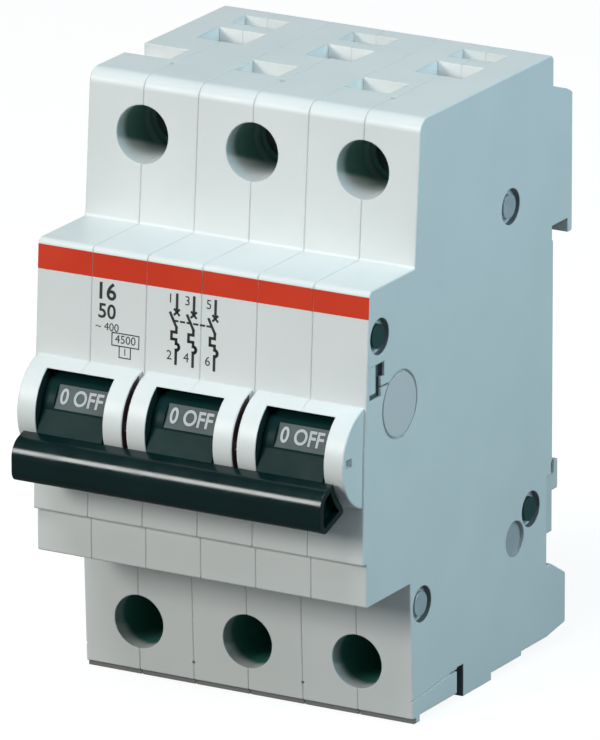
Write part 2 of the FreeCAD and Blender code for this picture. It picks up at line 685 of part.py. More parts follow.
def shell_half(right, outermost):
    """One half-shell of a pole at x = 0, built as the right half and mirrored for the left.

    The outermost side walls close over the end of the trip cross-bar."""
    body = fused([chamfered_half(), bulge_half()])
    body = body.cut(cavity_half())
    inside = partitions() + rivet_bosses() + pin_bosses() + coil_seats() + entry_floors()
    for z in (UPPER_TERMINAL_Z, LOWER_TERMINAL_Z):
        inside += [bore_tube(z), cage_guides(z)]
    if right:
        inside.append(adjust_rib())
    room = box(0, HALF - 0.1, CAP_TOP_Y + 0.5, -0.5, -TOP + 0.6, TOP - 0.6)
    inside = fused(inside).common(room)
    outside = prism(housing_corners(), 0.0, HALF - 0.1)
    body = fused([body, inside.common(outside), hook_nib()])
    cuts = [bore_hole(UPPER_TERMINAL_Z), bore_hole(LOWER_TERMINAL_Z), window_cut(), clip_channel()]
    cuts += entry_cuts() + side_marks()
    cuts.append(rod_x(PIVOT_PIN_RADIUS + FIT, -1, PIVOT_PIN_HALF + FIT, *DRUM_PIVOT))
    cuts.append(rod_x(ARM_PIN_RADIUS + FIT, -1, ARM_PIN_HALF + FIT, ARM_PIVOT_Y, ARM_PIVOT_Z))
    trip_end = cross_bar_end() - MODULE * (POLES - 1) / 2 + PLAY if outermost else HALF + 1
    cuts.append(rod_x(TRIP_RADIUS + PLAY, -1, trip_end, TRIP_Y, TRIP_Z))
    cuts.append(rod_z(SEAM_HOLE_RADIUS, TOP - 2.0, TOP + 1, 0, SEAM_HOLE_Y))
    if not right:
        cuts.append(box(HALF - SLIT_LENGTH, HALF + 1, SLIT_FRONT_Y, SLIT_REAR_Y, TOP - SLIT_DEPTH, TOP + 1))
    body = body.cut(fused_cuts(cuts))
    body = fused([body, clip_peg()])
    body = largest(body)
    return body if right else mirrored(body)


def fused_cuts(cuts):
    return cuts[0].multiFuse(cuts[1:])


def largest(shape):
    return max(shape.Solids, key=lambda s: s.Volume)


# Handle


def lever():
    """The flat lever of a toggle, from inside the drum into the tie bar, thinner towards its tip."""
    shoulder_out, shoulder_up = LEVER_SHOULDER
    corners = [
        (PIVOT_Y - LEVER_ROOT, PIVOT_Z - LEVER_DOWN), (PIVOT_Y - LEVER_REACH, PIVOT_Z - LEVER_DOWN),
        (PIVOT_Y - LEVER_REACH, PIVOT_Z + LEVER_TIP_UP), (PIVOT_Y - shoulder_out, PIVOT_Z + shoulder_up),
        (PIVOT_Y - LEVER_ROOT, PIVOT_Z + shoulder_up),
    ]
    return rotated(prism(corners, -DRUM_HALF, DRUM_HALF), DRUM_PIVOT, -HANDLE_REST)


def toggle():
    """The toggle of one pole at x = 0, with the handle at rest (off)."""
    drum = rod_x(DRUM_RADIUS, -DRUM_HALF, DRUM_HALF, *DRUM_PIVOT)
    body = fused([drum, lever()])
    cuts = [rod_x(PIVOT_PIN_RADIUS + FIT, -PIVOT_PIN_HALF, PIVOT_PIN_HALF, *DRUM_PIVOT)]
    crank = polar(DRUM_PIVOT, CRANK, CRANK_ANGLE)
    slot = box(-LINK_SLOT_HALF, LINK_SLOT_HALF, crank[0] - LINK_WIDTH / 2 - 0.6, PIVOT_Y + DRUM_RADIUS + 1,
               PIVOT_Z - LINK_SLOT_LOW, PIVOT_Z + DRUM_RADIUS + 1)
    cuts.append(slot)
    cuts.append(rod_x(LINK_PIN_RADIUS + FIT, -LINK_PIN_HALF - FIT, LINK_PIN_HALF + FIT, *crank))
    spring_end = -DRUM_HALF + PIVOT_SPRING_WIDTH + 2 * PLAY
    cuts.append(rod_x(PIVOT_SPRING_POCKET, -DRUM_HALF - 1, spring_end, *DRUM_PIVOT))
    cuts += [plate_pocket(angle) for angle in PLATE_ANGLES]
    return body.cut(fused_cuts(cuts))


def label_plate(angle):
    """A thin plate let into the drum at this angle from the front."""
    face_y = PIVOT_Y - DRUM_RADIUS + PLATE_SINK
    plate = box(PLATE_SHIFT - PLATE_LENGTH / 2, PLATE_SHIFT + PLATE_LENGTH / 2,
                face_y, face_y + PLATE_THICKNESS, PIVOT_Z - PLATE_HEIGHT / 2, PIVOT_Z + PLATE_HEIGHT / 2)
    return rotated(plate, DRUM_PIVOT, -angle)


def plate_pocket(angle):
    """The pocket that the label plate lies in, open towards the end of the drum."""
    face_y = PIVOT_Y - DRUM_RADIUS + PLATE_SINK
    half = PLATE_HEIGHT / 2
    left = PLATE_SHIFT - PLATE_LENGTH / 2
    above = box(left, DRUM_HALF + 1, face_y - 3, face_y, PIVOT_Z - half, PIVOT_Z + half)
    return fused([rotated(above, DRUM_PIVOT, -angle), label_plate(angle)])


def bar_section(inset):
    """The tie bar's section, hollowed at the rear where it sweeps past the cheeks."""
    corners = [
        (BAR_FRONT_Y, BAR_FRONT_TOP_Z, BAR_TOP_ROUND), (BAR_FRONT_Y, BAR_FRONT_LOW_Z, BAR_LOW_ROUND),
        (*BAR_REAR_LOW, BAR_REAR_ROUND), (*BAR_REAR_TOP, BAR_REAR_ROUND),
    ]
    section = Part.Face(rounded_outline(corners))
    sweep = Part.Circle(V(0, *DRUM_PIVOT), V(1, 0, 0), BAR_SWEEP + inset).toShape()
    if inset:
        section = section.makeOffset2D(-inset)
    return section.cut(Part.Face(Part.Wire(sweep))).Faces[0]


def tie_bar():
    """The bar across the toggles, with a pocket for each lever and hollow ends."""
    half = BAR_LENGTH / 2
    bar = moved(bar_section(0.0).extrude(V(BAR_LENGTH, 0, 0)), -half)
    end = moved(bar_section(BAR_END_RIM).extrude(V(BAR_END_HOLLOW + 1, 0, 0)), half - BAR_END_HOLLOW)
    levers = [moved(lever(), x) for x in POLE_X]
    return largest(bar.cut(fused_cuts(levers + [end, mirrored(end)])))


def pivot_pin():
    return rod_x(PIVOT_PIN_RADIUS, -PIVOT_PIN_HALF, PIVOT_PIN_HALF, *DRUM_PIVOT)


def return_spring():
    """The torsion spring beside the drum, round its pin."""
    coil = coil_spring(PIVOT_SPRING_RADIUS, PIVOT_SPRING_WIRE, PIVOT_SPRING_WIDTH, PIVOT_SPRING_TURNS)
    coil.rotate(V(0, 0, 0), V(0, 1, 0), 90)
    return moved(coil, -DRUM_HALF - 0.1, *DRUM_PIVOT)


# Link and contact arm


def arm_pivot():
    return (ARM_PIVOT_Y, ARM_PIVOT_Z)


def arm_link_point(angle):
    """The link's place on the arm, with the arm turned this far from closed."""
    return turned_point((ARM_PIVOT_Y - ARM_LINK_FRONT, ARM_PIVOT_Z - ARM_LINK_DROP), arm_pivot(), angle)


def link():
    start = polar(DRUM_PIVOT, CRANK, CRANK_ANGLE)
    end = arm_link_point(-ARM_SWING)
    pins = [rod_x(LINK_PIN_RADIUS, -LINK_PIN_HALF, LINK_PIN_HALF, *p) for p in (start, end)]
    return fused([bar_between(start, end, LINK_WIDTH, -LINK_HALF, LINK_HALF)] + pins)


def contact_arm():
    """The moving contact's arm, drawn closed and turned open."""
    eye = rod_x(ARM_EYE, -ARM_HALF, ARM_HALF, *arm_pivot())
    blade = box(-ARM_HALF, ARM_HALF, ARM_PIVOT_Y - ARM_THICKNESS / 2, ARM_REAR_Y,
                ARM_PIVOT_Z - ARM_REACH, ARM_PIVOT_Z)
    hole = arm_link_point(0.0)
    lug = rod_x(LINK_PIN_RADIUS + LINK_LOST_MOTION + 0.7, -ARM_HALF, ARM_HALF, *hole)
    neck = box(-ARM_HALF, ARM_HALF, hole[0], ARM_PIVOT_Y, hole[1] - 1.6, hole[1] + 1.6)
    body = fused([eye, blade, lug, neck])
    cuts = [
        rod_x(ARM_PIN_RADIUS + FIT, -3, 3, *arm_pivot()),
        rod_x(LINK_PIN_RADIUS + LINK_LOST_MOTION, -3, 3, *hole),
        box(-LINK_HALF - 0.35, LINK_HALF + 0.35, hole[0] - 4, ARM_PIVOT_Y - ARM_THICKNESS / 2,
            hole[1] - 4.5, hole[1] + 4.5),
    ]
    return rotated(body.cut(fused_cuts(cuts)), arm_pivot(), -ARM_SWING)


def moving_tip():
    tip = box(-TIP_HALF, TIP_HALF, ARM_REAR_Y, TIP_FACE_Y, TIP_Z, TIP_Z + TIP_HEIGHT)
    return rotated(tip, arm_pivot(), -ARM_SWING)


def arm_pin():
    return rod_x(ARM_PIN_RADIUS, -ARM_PIN_HALF, ARM_PIN_HALF, *arm_pivot())


def contact_spring():
    """The torsion spring that presses the contacts together, beside the arm on its pin."""
    coil = coil_spring(CONTACT_SPRING_RADIUS, CONTACT_SPRING_WIRE, CONTACT_SPRING_WIDTH, CONTACT_SPRING_TURNS)
    coil.rotate(V(0, 0, 0), V(0, 1, 0), 90)
    return moved(coil, -ARM_HALF - CONTACT_SPRING_WIDTH - CONTACT_SPRING_GAP, *arm_pivot())


def fixed_contact():
    """A copper strap: an upright that carries the tip and a tail over the arc chute."""
    low = CHUTE_TOP_Z + FIXED_LIFT
    upright = box(-STRAP_HALF, STRAP_HALF, FIXED_Y, FIXED_Y + STRAP_THICKNESS, low, FIXED_TOP_Z)
    tail = box(-CHUTE_HALF, CHUTE_HALF, FIXED_Y, FIXED_TAIL_Y, low, low + FIXED_TAIL)
    foot = box(-INNER + PLAY, INNER - PLAY, CHUTE_FRONT_Y, CHUTE_FRONT_Y + FIXED_FOOT, low, low + FIXED_TAIL)
    return fused([upright, tail, foot])


def fixed_tip():
    return box(-TIP_HALF, TIP_HALF, FIXED_FACE_Y, FIXED_Y, TIP_Z, TIP_Z + TIP_HEIGHT)


# Magnetic trip


def bobbin():
    flanges = [
        rod_y(BOBBIN_FLANGE_RADIUS, COIL_FRONT_Y, COIL_FRONT_Y + BOBBIN_FLANGE, 0, COIL_Z),
        rod_y(BOBBIN_FLANGE_RADIUS, COIL_REAR_Y - BOBBIN_FLANGE, COIL_REAR_Y, 0, COIL_Z),
    ]
    tube = rod_y(BOBBIN_TUBE_RADIUS, COIL_FRONT_Y, COIL_REAR_Y, 0, COIL_Z)
    bore = rod_y(BOBBIN_BORE, COIL_FRONT_Y - 1, COIL_REAR_Y + 1, 0, COIL_Z)
    return fused(flanges + [tube]).cut(bore)


def winding():
    """Thick wire wound side by side, as one solid with a rounded ridge for each turn."""
    start = COIL_FRONT_Y + BOBBIN_FLANGE
    pitch = (COIL_LENGTH - 2 * BOBBIN_FLANGE) / COIL_TURNS
    wire = pitch / 2
    core = rod_y(COIL_RADIUS - wire, start, start + COIL_TURNS * pitch, 0, COIL_Z)
    turns = [
        Part.makeTorus(COIL_RADIUS - wire, wire * 0.98, V(0, start + pitch * (i + 0.5), COIL_Z), V(0, 1, 0))
        for i in range(COIL_TURNS)
    ]
    body = core.multiFuse(turns)
    return largest(body.cut(rod_y(BOBBIN_TUBE_RADIUS, start - 1, COIL_REAR_Y + 1, 0, COIL_Z)))


def yoke():
    """A steel frame round the coil: front plate, top and bottom, open at the back."""
    reach = BOBBIN_FLANGE_RADIUS + 0.1
    t = YOKE_THICKNESS
    frame = box(-YOKE_HALF, YOKE_HALF, COIL_FRONT_Y - t, COIL_REAR_Y, COIL_Z - reach - t, COIL_Z + reach + t)
    room = box(-YOKE_HALF - 1, YOKE_HALF + 1, COIL_FRONT_Y, COIL_REAR_Y + 1, COIL_Z - reach, COIL_Z + reach)
    hole = rod_y(PLUNGER_PIN_RADIUS + 0.1, COIL_FRONT_Y - t - 1, COIL_FRONT_Y + 1, 0, COIL_Z)
    return frame.cut(room).cut(hole)


def plunger():
    """The iron core that slides in the bobbin and its striker pin."""
    rear = COIL_REAR_Y - PLUNGER_SEAT
    core = rod_y(PLUNGER_RADIUS, rear - PLUNGER_LENGTH, rear, 0, COIL_Z)
    tip_y = ARM_REAR_Y + PLUNGER_TRAVEL + PLAY
    pin = rod_y(PLUNGER_PIN_RADIUS, tip_y, rear - 1, 0, COIL_Z)
    return fused([core, pin])


def plunger_spring():
    """Pushes the plunger back, between the yoke's front plate and the core."""
    coil = coil_spring(PLUNGER_SPRING_RADIUS, PLUNGER_SPRING_WIRE, plunger_room(), PLUNGER_SPRING_TURNS)
    coil.rotate(V(0, 0, 0), V(1, 0, 0), -90)
    return moved(coil, 0, COIL_FRONT_Y + FIT, COIL_Z)


def plunger_room():
    return COIL_REAR_Y - PLUNGER_SEAT - PLUNGER_LENGTH - COIL_FRONT_Y - 2 * FIT


# Thermal trip


def trip_lever():
    """The lever that the bimetal strip pushes, on the common cross-bar."""
    x0, x1 = BIMETAL_X0, BIMETAL_X0 + BIMETAL_WIDTH
    hub = rod_x(TRIP_HUB, x0, x1, TRIP_Y, TRIP_Z)
    blade = box(x0, x1, TRIP_LEVER_REAR_Y - TRIP_LEVER_THICKNESS, TRIP_LEVER_REAR_Y,
                TRIP_Z - TRIP_LEVER_DROP, TRIP_Z)
    return fused([hub, blade]).cut(rod_x(TRIP_RADIUS, x0 - 1, x1 + 1, TRIP_Y, TRIP_Z))


def cross_bar_end():
    return WIDTH / 2 - WALL - PLAY + TRIP_BAR_SEAT


def cross_bar():
    end = cross_bar_end()
    return rod_x(TRIP_RADIUS, -end, end, TRIP_Y, TRIP_Z)


def bimetal():
    return box(BIMETAL_X0, BIMETAL_X0 + BIMETAL_WIDTH, BIMETAL_Y, BIMETAL_Y + BIMETAL_THICKNESS,
               BIMETAL_FOOT_Z, BIMETAL_TOP_Z)


def load_conductor():
    """The strap from the lower terminal up to the foot of the bimetal strip."""
    t = BAR_THICKNESS
    low = LOWER_TERMINAL_Z - CAGE_HALF_HEIGHT
    run_z = PARTITION_LOW_Z
    level_z = BIMETAL_FOOT_Z - t
    rise = box(-BAR_HALF, BAR_HALF, BAR_Y, BAR_Y + t, low, run_z + t)
    run = box(-BAR_HALF, BAR_HALF, STRAP_RUN_Y, BAR_Y + t, run_z + FIT, run_z + t)
    climb = box(-BAR_HALF, BAR_HALF, STRAP_RUN_Y, STRAP_RUN_Y + t, run_z + FIT, level_z + t)
    level = box(-BAR_HALF, BIMETAL_X0 + BIMETAL_WIDTH, BIMETAL_Y, STRAP_RUN_Y + t, level_z, level_z + t)
    return fused([rise, run, climb, level])


def line_conductor():
    """The bar from the upper terminal down to the yoke."""
    low = COIL_Z + BOBBIN_FLANGE_RADIUS + 0.1 + YOKE_THICKNESS
    return box(-BAR_HALF, BAR_HALF, BAR_Y, BAR_Y + BAR_THICKNESS, low, UPPER_TERMINAL_Z + CAGE_HALF_HEIGHT)


def adjusting_screw():
    x = BIMETAL_X0 + BIMETAL_WIDTH / 2
    front = BIMETAL_Y - ADJUST_LENGTH
    shank = rod_y(ADJUST_RADIUS, front, BIMETAL_Y, x, ADJUST_Z)
    head = rod_y(ADJUST_HEAD, front, front + ADJUST_HEAD_HEIGHT, x, ADJUST_Z)
    slot = box(x - ADJUST_HEAD - 1, x + ADJUST_HEAD + 1, front - 1, front + ADJUST_HEAD_HEIGHT / 2,
               ADJUST_Z - ADJUST_SLOT / 2, ADJUST_Z + ADJUST_SLOT / 2)
    return fused([shank, head]).cut(slot)


def braid():
    """The flexible copper lead from the bimetal strip to the contact arm."""
    x = BIMETAL_X0 + 1.6
    start = V(x, BIMETAL_Y + BIMETAL_THICKNESS + BRAID_RADIUS, BIMETAL_TOP_Z - 3)
    route = [
        start, start + V(0, 0.6, 3.5), V(x, ARM_PIVOT_Y - 4.4, ARM_PIVOT_Z - 3.6),
        V(x - 0.6, ARM_PIVOT_Y - 1.6, ARM_PIVOT_Z + 1.6),
    ]
    pieces = [Part.makeSphere(BRAID_RADIUS, p) for p in route]
    for a, b in zip(route, route[1:]):
        pieces.append(Part.makeCylinder(BRAID_RADIUS, (b - a).Length, a, b - a))
    return largest(pieces[0].multiFuse(pieces[1:]))


# Arc chute


def arc_plate(index):
    """One steel plate with a notch at the front that draws the arc in."""
    z = CHUTE_TOP_Z - index * CHUTE_PITCH - CHUTE_PLATE
    plate = box(-CHUTE_HALF, CHUTE_HALF, CHUTE_FRONT_Y, CHUTE_REAR_Y, z, z + CHUTE_PLATE)
    corners = [
        V(-CHUTE_NOTCH_HALF, CHUTE_FRONT_Y - 1, z - 1), V(CHUTE_NOTCH_HALF, CHUTE_FRONT_Y - 1, z - 1),
        V(0.6, CHUTE_FRONT_Y + CHUTE_NOTCH_DEPTH, z - 1), V(-0.6, CHUTE_FRONT_Y + CHUTE_NOTCH_DEPTH, z - 1),
    ]
    notch = Part.Face(Part.makePolygon(corners + corners[:1])).extrude(V(0, 0, CHUTE_PLATE + 2))
    return plate.cut(notch)


def side_card(side):
    x0, x1 = sorted((side * CHUTE_HALF, side * (CHUTE_HALF + CHUTE_CARD)))
    return box(x0, x1, CHUTE_FRONT_Y, CHUTE_REAR_Y, CHUTE_BOTTOM_Z - 0.5, CHUTE_TOP_Z)


def arc_runner():
    """The strip that leads the arc from the open contact under the chute."""
    low = CHUTE_BOTTOM_Z - 0.5 - RUNNER_THICKNESS
    front = CHUTE_FRONT_Y - 1.6
    floor = box(-STRAP_HALF, STRAP_HALF, front, CHUTE_REAR_Y - 1, low, low + RUNNER_THICKNESS)
    rise = box(-STRAP_HALF, STRAP_HALF, front, front + RUNNER_THICKNESS, low, CHUTE_TOP_Z - 4.0)
    return fused([floor, rise])


# Terminals


def terminal_cage(z):
    outer = box(-CAGE_HALF, CAGE_HALF, CAGE_FRONT_Y, CAGE_REAR_Y, z - CAGE_HALF_HEIGHT, z + CAGE_HALF_HEIGHT)
    room = box(-CAGE_HALF + CAGE_SIDE_WALL, CAGE_HALF - CAGE_SIDE_WALL, CAGE_INNER_FRONT_Y, CAGE_INNER_REAR_Y,
               z - CAGE_HALF_HEIGHT - 1, z + CAGE_HALF_HEIGHT + 1)
    thread = rod_y(SCREW_RADIUS + FIT, CAGE_FRONT_Y - 1, CAGE_INNER_FRONT_Y + 1, 0, z)
    return outer.cut(room).cut(thread)


def terminal_screw(z):
    head = rod_y(SCREW_HEAD_RADIUS, SCREW_HEAD_FRONT_Y, SCREW_HEAD_REAR_Y, 0, z)
    shank = rod_y(SCREW_RADIUS, SCREW_HEAD_REAR_Y - 0.5, BAR_Y - FIT, 0, z)
    half, reach, front = SCREW_SLOT_WIDTH / 2, SCREW_HEAD_RADIUS * 0.72, SCREW_HEAD_FRONT_Y
    cross = [
        box(-reach, reach, front - 1, front + SCREW_SLOT_DEPTH, z - half, z + half),
        box(-half, half, front - 1, front + SCREW_SLOT_DEPTH, z - reach, z + reach),
    ]
    return fused([head, shank]).cut(fused_cuts(cross))


def rivet(y, z):
    """A rivet through all poles with a head in the recess at each side."""
    end = WIDTH / 2 - RIVET_RECESS_DEPTH
    shank = rod_x(RIVET_RADIUS, -end, end, y, z)
    heads = [
        rod_x(RIVET_HEAD_RADIUS, end, end + RIVET_HEAD_HEIGHT, y, z),
        rod_x(RIVET_HEAD_RADIUS, -end - RIVET_HEAD_HEIGHT, -end, y, z),
    ]
    return fused([shank] + heads)


# Rail clip


def din_clip():
    """The sliding clip of one pole: head with its nose behind the rail, stem, pull tab."""
    head_half = HALF - 0.35
    front = -CLIP_RECESS + PLAY
    head_low = FOOT_TOP_Z + CLIP_TRAVEL + PLAY
    seat = CLIP_SEAT_Z - PLAY
    stem_front = -CLIP_RECESS - CLIP_STEM_DEPTH
    parts = [
        box(-head_half, head_half, front, CLIP_HEAD_OUT, head_low, seat),
        box(-head_half, head_half, front, CLIP_NOSE_OUT, seat - CLIP_NOSE_DEPTH, seat),
        box(-head_half, head_half, RAIL_LIP + PLAY, CLIP_NOSE_OUT, seat - 0.2, CLIP_NOSE_Z),
        box(-CLIP_STEM_HALF, CLIP_STEM_HALF, stem_front, CLIP_HEAD_OUT - 0.6, CLIP_TAIL_Z, head_low + 1.0),
        box(-CLIP_STEM_HALF, CLIP_STEM_HALF, stem_front, FOOT_DEPTH - 0.4,
            CLIP_TAIL_Z, CLIP_TAIL_Z + CLIP_TAB_HEIGHT),
    ]
    window = box(-CLIP_WINDOW_HALF, CLIP_WINDOW_HALF, stem_front - 1, CLIP_HEAD_OUT + 1,
                 CLIP_SPRING_TOP_Z - CLIP_SPRING_LENGTH - 1.4 - PLAY - 0.3, CLIP_SPRING_TOP_Z)
    return fused(parts).cut(window)


def clip_spring():
    coil = coil_spring(CLIP_SPRING_RADIUS, CLIP_SPRING_WIRE, CLIP_SPRING_LENGTH - 2 * FIT, CLIP_SPRING_TURNS)
    y = -CLIP_RECESS - CLIP_STEM_DEPTH + CLIP_SPRING_RADIUS + CLIP_SPRING_WIRE - FIT
    return moved(coil, 0, y, CLIP_SPRING_TOP_Z - CLIP_SPRING_LENGTH + FIT)


def per_pole(shape):
    return [moved(shape, x) for x in POLE_X]


def save_shells():
    """Both halves of every pole. The outermost side walls differ from those between poles."""
    for right, side in ((False, "left"), (True, "right")):
        end, between = shell_half(right, True), shell_half(right, False)
        last = POLES if right else 1
        for number, x in enumerate(POLE_X, 1):
            save("pole_{}_{}_shell".format(number, side), [moved(end if number == last else between, x)])


def build():
    os.makedirs("parts", exist_ok=True)
    cages = {"upper": terminal_cage(UPPER_TERMINAL_Z), "lower": terminal_cage(LOWER_TERMINAL_Z)}
    screws = {"upper": terminal_screw(UPPER_TERMINAL_Z), "lower": terminal_screw(LOWER_TERMINAL_Z)}
    own_node = {
        "toggle_{}": toggle(),
        "magnet_plunger_{}": plunger(), "plunger_spring_{}": plunger_spring(),
        "din_clip_{}": din_clip(), "din_clip_spring_{}": clip_spring(),
    }
    for level in ("upper", "lower"):
        own_node[level + "_terminal_cage_{}"] = cages[level]
        own_node[level + "_terminal_screw_{}"] = screws[level]
    save_shells()
    for pattern, shape in own_node.items():
        for number, x in enumerate(POLE_X, 1):
            save(pattern.format(number), [moved(shape, x)])
    shared_node = {
        "toggle_pivot_pins": pivot_pin(), "toggle_return_springs": return_spring(), "toggle_links": link(),
        "contact_arms": contact_arm(), "moving_contact_tips": moving_tip(), "contact_arm_pins": arm_pin(),
        "contact_springs": contact_spring(), "trip_levers": trip_lever(), "fixed_contacts": fixed_contact(),
        "fixed_contact_tips": fixed_tip(), "magnet_coils": winding(), "coil_bobbins": bobbin(),
        "magnet_yokes": yoke(), "bimetal_strips": bimetal(), "adjusting_screws": adjusting_screw(),
        "flexible_braids": braid(), "arc_runners": arc_runner(), "load_conductors": load_conductor(),
        "line_conductors": line_conductor(),
    }
    for name, shape in shared_node.items():
        save(name, per_pole(shape))
    save("label_plates", [moved(label_plate(a), x) for x in POLE_X for a in PLATE_ANGLES])
    save("handle_tie_bar", [tie_bar()])
    save("trip_cross_bar", [cross_bar()])
    save("case_rivets", [rivet(y, z) for y, z in RIVETS])
    save("arc_chute_plates", [moved(arc_plate(i), x) for x in POLE_X for i in range(CHUTE_PLATES)])
    save("arc_side_cards", [moved(side_card(s), x) for x in POLE_X for s in (-1, 1)])


build()
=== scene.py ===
import json
import math
import bpy
import bmesh
from mathutils import Matrix, Vector


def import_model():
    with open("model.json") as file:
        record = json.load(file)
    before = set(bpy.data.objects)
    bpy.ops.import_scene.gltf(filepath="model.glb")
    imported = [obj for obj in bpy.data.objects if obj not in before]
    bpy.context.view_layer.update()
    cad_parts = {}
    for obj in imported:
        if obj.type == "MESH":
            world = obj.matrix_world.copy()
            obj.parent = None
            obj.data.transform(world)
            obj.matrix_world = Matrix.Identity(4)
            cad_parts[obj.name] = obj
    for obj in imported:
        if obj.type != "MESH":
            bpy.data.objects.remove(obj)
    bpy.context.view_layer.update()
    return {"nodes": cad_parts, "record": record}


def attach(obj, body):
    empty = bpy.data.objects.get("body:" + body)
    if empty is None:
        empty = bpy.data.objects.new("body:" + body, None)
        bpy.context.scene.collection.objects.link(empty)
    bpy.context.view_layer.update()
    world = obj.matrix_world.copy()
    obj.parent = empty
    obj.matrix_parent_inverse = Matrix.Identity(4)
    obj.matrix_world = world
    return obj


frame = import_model()
NODES = frame["nodes"]
MM = 0.001

# Sizes of the part as in the CAD source, in millimetres; a place on the side is y and z
POLE_X = (-17.5, 0.0, 17.5)
HALF_POLE = 8.75
SIDE_X = 26.25
TOP_Z = 43.25
FLOOR_Z = -43.25
CAP_TOP_Z = 22.5
CAP_TOP_Y = -51.7
CAP_MID_Y = -53.05
RIVETS = ((-12.2, 24.4), (-49.0, 15.5), (-6.1, -21.3), (-37.1, -26.3))
RECESS_RADIUS = 2.6
SHALLOW_RECESS = (-10.7, -24.4)
DISC = (-43.4, 4.3)
DISC_RADIUS = 4.9
SLOT_Y = (-51.8, -46.6)
SLOT_Z = (6.9, 11.7)
ENTRY_HALF = 3.8
WINDOW_HALF = 5.4
PIVOT_Y = -51.2
PIVOT_Z = -1.0

# The screwdriver bores: the wider radius, and upper before lower where there are two values
BORE_RADIUS = 4.15
BORE_Z = (35.1, -35.3)
BORE_FACE_Y = (-38.2, -39.9)
BORE_FACE_SLOPE = (0.077, -0.039)

# Painted shade in the bores: spans and rings are depths behind the face, edges are heights from the axis
BORE_MARGIN = 0.3
BORE_SHADE_END_Y = -25.0
RIM_SPAN = (0.1, 0.35)
RIM_SHADE = 0.55
INNER_SPAN = (1.5, 3.0)
PALE_FLOOR_EDGE = (-1.3, -0.4)
PALE_FLOOR_FALL = 0.36
LOWER_FLOOR_SPAN = (0.9, 3.3)
UPPER_ROW_LIGHTER = 0.1
RING_STARTS = (7.6, 8.0)
RING_ENDS = (9.4, 9.0)
RING_LIGHTER = 0.16

# Painted shade in the recesses: spans are depths under the side's face, margins go past the outline
RECESS_SHADE = 0.88
SHADED_RIVETS = RIVETS[1:3]
RIVET_SPAN = (0.06, 0.95)
RIVET_MARGIN = 0.1
SLOT_SPAN = (0.35, 1.2)
SLOT_MARGIN = 0.1
MARK_SPAN = (0.06, 1.2)
MARK_MARGIN = 0.05
MARK_SHADE = 0.5
NOTCH_Y = (-27.2, -25.2)
NOTCH_Z = (-45.0, -38.4)
HOOK_ROOT_Y = (0.2, 6.0)
HOOK_ROOT_Z = (18.2, 18.8)
SIDE_SKIN = 0.05
DISC_INSET = 0.2
DISC_DEPTH = 0.1

# Black of the toggles' windows, painted light and shade in the openings on top, painted shade in the gaps
# at the cheeks and on the foot strip
WINDOW_DARK_HEIGHT = 6.7
WINDOW_DARK_RADIUS = 7.2
WINDOW_MARGIN = 0.03
ENTRY_MARGIN = 0.05
ENTRY_Y = (-17.0, -10.5)
ENTRY_Z = (30.0, TOP_Z - 0.1)
ENTRY_PALE_Z = (TOP_Z - 2.5, TOP_Z - 2.0)
GAP_HALF = 0.38
GAP_FRONT_Y = CAP_MID_Y - 0.6
GAP_DEPTH = 1.0
FOOT_FRONT_Y = -38.7
FOOT_STRIP_Z = (-42.3, -42.5)
FOOT_SHADE = 0.75

# How far the noise spreads colour and gloss
NOISE_SPAN = (0.3, 0.7)
GLOSS_SPAN = (-0.04, 0.05)
GLOSS_CLOUD = 0.35
GRAIN_STRENGTH = 0.6

# Node helpers; lengths that they take are in millimetres


def new_material(name):
    material = bpy.data.materials.new(name)
    material.use_nodes = True
    return material, material.node_tree, material.node_tree.nodes["Principled BSDF"]


def place(tree):
    return tree.nodes.new("ShaderNodeTexCoord").outputs["Object"]


def coordinates(tree):
    node = tree.nodes.new("ShaderNodeSeparateXYZ")
    tree.links.new(place(tree), node.inputs[0])
    return node.outputs


def math_node(tree, operation, a, b=None):
    node = tree.nodes.new("ShaderNodeMath")
    node.operation = operation
    for socket, value in zip(node.inputs, (a, b)):
        if value is None:
            continue
        if isinstance(value, (int, float)):
            socket.default_value = value
        else:
            tree.links.new(value, socket)
    return node.outputs[0]


def product(tree, first, *others):
    for other in others:
        first = math_node(tree, "MULTIPLY", first, other)
    return first


def greatest(tree, first, *others):
    for other in others:
        first = math_node(tree, "MAXIMUM", first, other)
    return first


def more(tree, value, limit):
    return math_node(tree, "GREATER_THAN", value, limit * MM)


def less(tree, value, limit):
    return math_node(tree, "LESS_THAN", value, limit * MM)


def within(tree, *spans):
    """1 where each value lies between its two limits, 0 elsewhere."""
    tests = []
    for value, low, high in spans:
        tests += [more(tree, value, low), less(tree, value, high)]
    return product(tree, *tests)


def near(tree, y, z, centre, radius):
    """1 inside a circle drawn on the side plane, 0 outside."""
    spot = tree.nodes.new("ShaderNodeCombineXYZ")
    tree.links.new(y, spot.inputs["Y"])
    tree.links.new(z, spot.inputs["Z"])
    away = tree.nodes.new("ShaderNodeVectorMath")
    away.operation = "DISTANCE"
    tree.links.new(spot.outputs[0], away.inputs[0])
    away.inputs[1].default_value = (0, centre[0] * MM, centre[1] * MM)
    return less(tree, away.outputs["Value"], radius)


def ramp(tree, value, start, end):
    """0 before start, 1 after end, smooth between."""
    node = tree.nodes.new("ShaderNodeMapRange")
    node.interpolation_type = "SMOOTHSTEP"
    node.inputs["From Min"].default_value = start * MM
    node.inputs["From Max"].default_value = end * MM
    tree.links.new(value, node.inputs["Value"])
    return node.outputs[0]


def noise(tree, size, detail, stretch=(1, 1, 1)):
    mapping = tree.nodes.new("ShaderNodeMapping")
    mapping.inputs["Scale"].default_value = stretch
    tree.links.new(place(tree), mapping.inputs["Vector"])
    node = tree.nodes.new("ShaderNodeTexNoise")
    node.inputs["Scale"].default_value = 1 / (size * MM)
    node.inputs["Detail"].default_value = detail
    tree.links.new(mapping.outputs[0], node.inputs["Vector"])
    return node.outputs["Fac"]


